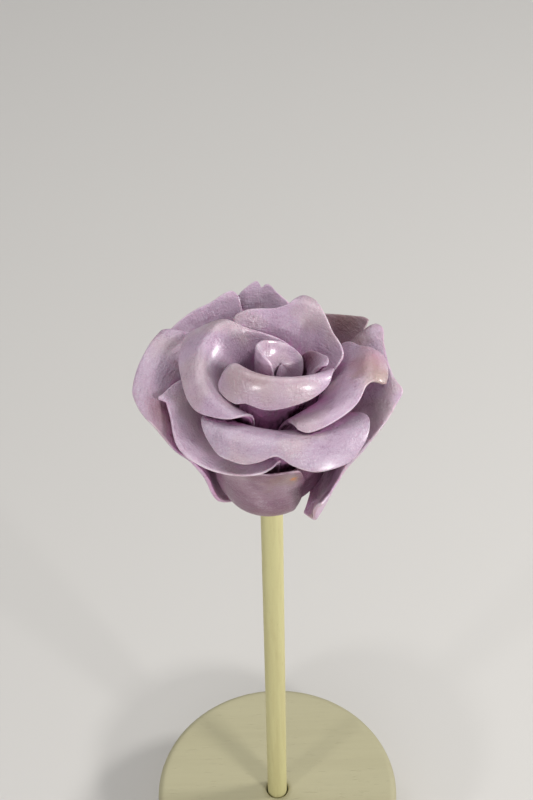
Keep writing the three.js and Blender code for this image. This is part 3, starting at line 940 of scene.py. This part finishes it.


# Uneven spots on the paste: colour, place in millimetres, size and how strong they are.
# The middle and cup spots are stains; the inner and outer ones are painted shade.
MIDDLE_STAINS = [
    ((0.34, 0.13, 0.12, 1), (16.3, 1.3, 145.9), 4.5, 0.6),
    ((0.36, 0.28, 0.18, 1), (18.4, -2.0, 145.4), 3.2, 0.45),
]
# Painted shade: darker inside inner_right, and browner on inner_front's upturned top.
INNER_PAINTED_SHADE = [
    ((0.17, 0.06, 0.09, 1), (6.9, 2.1, 146.6), 3.2, 0.8),
    ((0.4, 0.27, 0.26, 1), (-2.3, -5.5, 151.4), 6.0, 0.5),
]
# Painted shade: back_right where it lies behind, and the left petal low under front_left's tip.
OUTER_PAINTED_SHADE = [
    ((0.17, 0.08, 0.06, 1), (13.2, 15.4, 141.9), 8.0, 0.8),
    ((0.28, 0.11, 0.11, 1), (-15.5, -4.5, 141.0), 6.0, 0.6),
]
CUP_STAINS = [
    ((0.62, 0.2, 0.04, 1), (3.6, -12.4, 132.7), 0.5, 1.0),
    ((0.28, 0.2, 0.1, 1), (2.0, -11.0, 133.5), 3.0, 0.5),
]


def make_petals(names, look_name, look):
    """Makes petals that share a look, each in place of its solid."""
    paste = bpy.context.scene.rose.paste
    material = paste_material(look_name, paste, look)
    for name in names:
        values = {
            "Dent Depth": paste.dent_depth / MM * look.get("dents", 1.0),
            "Dent Size": paste.dent_size / MM,
            "Wave Depth": paste.wave_depth / MM * look.get("waves", 1.0),
            "Wave Size": paste.wave_size / MM,
            "Wrinkle Depth": paste.wrinkle_depth / MM,
            "Wrinkle Size": paste.wrinkle_size / MM,
            "Seed": paste.seed + list(PETALS).index(name),
            "Material": material,
        }
        sheet = grid_mesh(name, petal_sheet(PETALS[name], paste))
        piece = made_by(once("pressed petal", petal_tree), name + "_petal", sheet, values)
        stand_in_for(piece, name)


class ROSE_OT_holder(bpy.types.Operator):
    """Make the round wooden holder with the hole for the stick"""

    bl_idname = "rose.holder"
    bl_label = "Holder"

    def execute(self, context):
        settings = context.scene.rose.holder
        radius, height = settings.radius / MM, settings.height / MM
        top, foot = settings.top_round / MM, settings.foot_round / MM
        hole = context.scene.rose.stick.radius / MM + CLEARANCE
        outline = [(0, 0), *between((0, 0), (radius - foot, 0), 12)]
        outline += quarter_round(radius - foot, foot, foot, -90, 0)
        outline += between((radius, foot), (radius, height - top), 12)
        outline += quarter_round(radius - top, height - top, top, 0, 90)
        outline += between((radius - top, height), (hole + CHAMFER, height), 24)
        outline += [(hole + CHAMFER, height), (hole, height - CHAMFER)]
        outline += [(hole, height - HOLE_DEPTH), (0, height - HOLE_DEPTH)]
        wood = wood_material("wood_across", settings, (0, math.pi / 2, 0), 1.6, 0.55)
        stand_in_for(turn_piece("holder_disc", outline, 192, 0.06, 9.0, wood), "holder")
        return {"FINISHED"}


class ROSE_OT_stick(bpy.types.Operator):
    """Make the round wooden stick"""

    bl_idname = "rose.stick"
    bl_label = "Stick"

    def execute(self, context):
        settings = context.scene.rose.stick
        radius, end = settings.radius / MM, settings.end_round / MM
        low, high = float(STICK_LOW[2]), float(STICK_HIGH[2])
        outline = [(0, low), *quarter_round(radius - end, low + end, end, -90, 0, STICK_ROUND_STEPS)]
        outline += between((radius, low + end), (radius, high - end), 120)
        outline += quarter_round(radius - end, high - end, end, 0, 90, STICK_ROUND_STEPS)
        outline += [(0, high)]
        wood = wood_material("wood_along", settings, (0, 0, 0), 0.7, 0.5)
        stand_in_for(turn_piece("lollipop_stick", outline, 40, 0.05, 5.0, wood), "stick")
        return {"FINISHED"}


class ROSE_OT_heart(bpy.types.Operator):
    """Make the lump of paste on the stick that carries the petals"""

    bl_idname = "rose.heart"
    bl_label = "Heart"

    def execute(self, context):
        settings = context.scene.rose
        hole = settings.stick.radius / MM + CLEARANCE
        heights = np.linspace(HEART[0][1], HEART[-1][1], 30)
        radii = np.interp(heights, [h for _, h in HEART], [r for r, _ in HEART])
        outline = [(0, HEART_ROOF), (hole, HEART_ROOF), (hole, HEART[0][1]), *zip(radii, heights)]
        outline = [(radius, height + FLOWER_FOOT) for radius, height in outline + [(0, HEART[-1][1])]]
        paste = paste_material("paste_heart", settings.paste, {"tint": 0.8, "coat": 0.1, "gloss": 0.5})
        stand_in_for(turn_piece("rose_heart", outline, 64, 0.2, 3.0, paste), "heart")
        return {"FINISHED"}


class ROSE_OT_bud(bpy.types.Operator):
    """Make the rolled petal in the middle"""

    bl_idname = "rose.bud"
    bl_label = "Bud"

    def execute(self, context):
        make_petals(["bud"], "paste_bud", {
            "dents": 0.3, "waves": 0.2, "rim": 0.5, "gloss": 0.24, "pores": 0.03,
            "deep": context.scene.rose.paste.colour,
        })
        return {"FINISHED"}


class ROSE_OT_inner_petals(bpy.types.Operator):
    """Make the two petals that hold the bud"""

    bl_idname = "rose.inner_petals"
    bl_label = "Inner Petals"

    def execute(self, context):
        make_petals(["inner_right", "inner_front"], "paste_inner", {
            "dents": 0.4, "waves": 0.4, "gloss": 0.32, "pores": 0.07, "stains_and_shade": INNER_PAINTED_SHADE,
        })
        return {"FINISHED"}


class ROSE_OT_middle_petals(bpy.types.Operator):
    """Make the three large petals round the bud"""

    bl_idname = "rose.middle_petals"
    bl_label = "Middle Petals"

    def execute(self, context):
        make_petals(["middle_left", "middle_back"], "paste_middle", {"dents": 0.7})
        make_petals(["middle_right"], "paste_middle_right", {"dents": 0.7, "stains_and_shade": MIDDLE_STAINS})
        return {"FINISHED"}


class ROSE_OT_outer_petals(bpy.types.Operator):
    """Make the opened petals outside and the cup under them"""

    bl_idname = "rose.outer_petals"
    bl_label = "Outer Petals"

    def execute(self, context):
        # Painted shade: the front petal's paste is a darker copy of the paste.
        make_petals(["front"], "paste_front", {"paste": (0.41, 0.3, 0.39)})
        # Painted light: front_left's paste is a lighter copy, for light it does not get.
        painted_light_paste = {"paste": (0.56, 0.41, 0.52), "deep": (0.56, 0.33, 0.5)}
        make_petals(["front_left"], "paste_front_left", painted_light_paste)
        outermost = ["left", "back_left", "back", "back_right", "right"]
        make_petals(outermost, "paste_outer", {"stains_and_shade": OUTER_PAINTED_SHADE})
        # Painted shade: the cup under the petals is painted far darker for the shade it lies in.
        make_petals(["under_front", "under_right"], "paste_cup_painted_shade", {
            "paste": (0.21, 0.1, 0.155), "deep": (0.19, 0.085, 0.14), "gloss": 0.46, "coat": 0.25,
            "stains_and_shade": CUP_STAINS,
        })
        return {"FINISHED"}


# ---------------------------------------------------------------- stage
FLOOR_HALF = 1.5  # half the floor's side, in metres
FLOWER_MIDDLE = Vector((0, 0, (FLOWER_FOOT + 22) * MM))  # what the lights and the camera look at
CAMERA_ROLL = math.radians(-1.25)
CAMERA_LEFT = 0.5 * MM
PHOTO_HEIGHT = 800
FOCAL_PIXELS = 2000
SENSOR = 36.0

# Where the lights stand: degrees round the flower (0 is the right, -90 the camera's side), degrees
# up, distance and side of the lamp in metres, and how much of the key's or the fill's power it has.
KEY_LIGHTS = {"overhead": (110, 62, 0.5, 0.45, 1.0)}
FILL_LIGHTS = {
    "front_wall": (-105, 30, 0.6, 0.4, 0.7),
    "right_window": (10, 24, 0.5, 0.1, 2.2),
    "front_window": (-48, 22, 0.5, 0.09, 1.8),
    "left_window": (-136, 14, 0.5, 0.07, 1.0),
}


def look_along(thing, direction, roll=0.0):
    """Turns a light or a camera along a direction, and then about it."""
    turn = direction.to_track_quat("-Z", "Y") @ Quaternion((0, 0, 1), roll)
    thing.rotation_mode = "QUATERNION"
    thing.rotation_quaternion = turn
    return turn


def add_light(name, spot, power):
    """A soft square light that looks at the flower."""
    around, up, distance, side, share = spot
    around, up = math.radians(around), math.radians(up)
    place = Vector((math.cos(around), math.sin(around), math.tan(up))).normalized() * distance
    light = bpy.data.lights.new(name, "AREA")
    light.shape = "SQUARE"
    light.size = side
    light.energy = power * share
    lamp = new_object(name, light)
    lamp.location = FLOWER_MIDDLE + place
    look_along(lamp, -place)


class ROSE_OT_stage(bpy.types.Operator):
    """Make the floor, the soft lights and the camera"""

    bl_idname = "rose.stage"
    bl_label = "Stage"

    def execute(self, context):
        settings = context.scene.rose.stage
        mesh = bpy.data.meshes.new("floor")
        corners = [(x * FLOOR_HALF, y * FLOOR_HALF, 0) for x, y in ((-1, -1), (1, -1), (1, 1), (-1, 1))]
        mesh.from_pydata(corners, [], [(0, 1, 2, 3)])
        floor = new_object("floor", mesh)
        material, _, shader = new_material("floor_paint")
        fill_in(shader, {"Base Color": settings.floor_colour, "Roughness": 0.8})
        mesh.materials.append(material)
        world = bpy.data.worlds.new("studio")
        world.use_nodes = True
        sky = {"Color": (0.94, 0.96, 1.0, 1.0), "Strength": settings.ambient}
        fill_in(world.node_tree.nodes["Background"], sky)
        context.scene.world = world
        for spots, power in ((KEY_LIGHTS, settings.key_power), (FILL_LIGHTS, settings.fill_power)):
            for name, spot in spots.items():
                add_light(name, spot, power)
        camera = bpy.data.cameras.new("camera")
        camera.sensor_width = SENSOR
        camera.lens = SENSOR * FOCAL_PIXELS / PHOTO_HEIGHT
        camera.clip_start = 0.01
        eye = new_object("camera", camera)
        back = Vector((0, -math.cos(settings.elevation), math.sin(settings.elevation)))
        right = look_along(eye, -back, CAMERA_ROLL) @ Vector((1, 0, 0))
        eye.location = FLOWER_MIDDLE + back * settings.distance - right * CAMERA_LEFT
        context.scene.camera = eye
        context.scene.view_settings.view_transform = "Standard"
        return {"FINISHED"}


STEPS = (
    ROSE_OT_holder, ROSE_OT_stick, ROSE_OT_heart, ROSE_OT_bud, ROSE_OT_inner_petals,
    ROSE_OT_middle_petals, ROSE_OT_outer_petals, ROSE_OT_stage,
)


class ROSE_PT_panel(bpy.types.Panel):
    """Lists the rose lollipop's steps and settings"""

    bl_idname = "ROSE_PT_panel"
    bl_label = "Rose Lollipop"
    bl_space_type = "VIEW_3D"
    bl_region_type = "UI"
    bl_category = "Rose"

    def draw(self, context):
        layout = self.layout
        for step in STEPS:
            layout.operator(step.bl_idname)
        rose = context.scene.rose
        for part in (rose.paste, rose.holder, rose.stick, rose.stage):
            box = layout.box()
            for key in part.__annotations__:
                box.prop(part, key)


CLASSES = (
    PasteSettings, HolderSettings, StickSettings, StageSettings, RoseSettings, *STEPS, ROSE_PT_panel,
)


def register():
    for cls in CLASSES:
        bpy.utils.register_class(cls)
    bpy.types.Scene.rose = PointerProperty(type=RoseSettings)


def unregister():
    del bpy.types.Scene.rose
    for cls in reversed(CLASSES):
        bpy.utils.unregister_class(cls)


def main():
    register()
    bpy.ops.rose.holder()
    bpy.ops.rose.stick()
    bpy.ops.rose.heart()
    bpy.ops.rose.bud()
    bpy.ops.rose.inner_petals()
    bpy.ops.rose.middle_petals()
    bpy.ops.rose.outer_petals()
    bpy.ops.rose.stage()


if __name__ == "__main__":
    main()
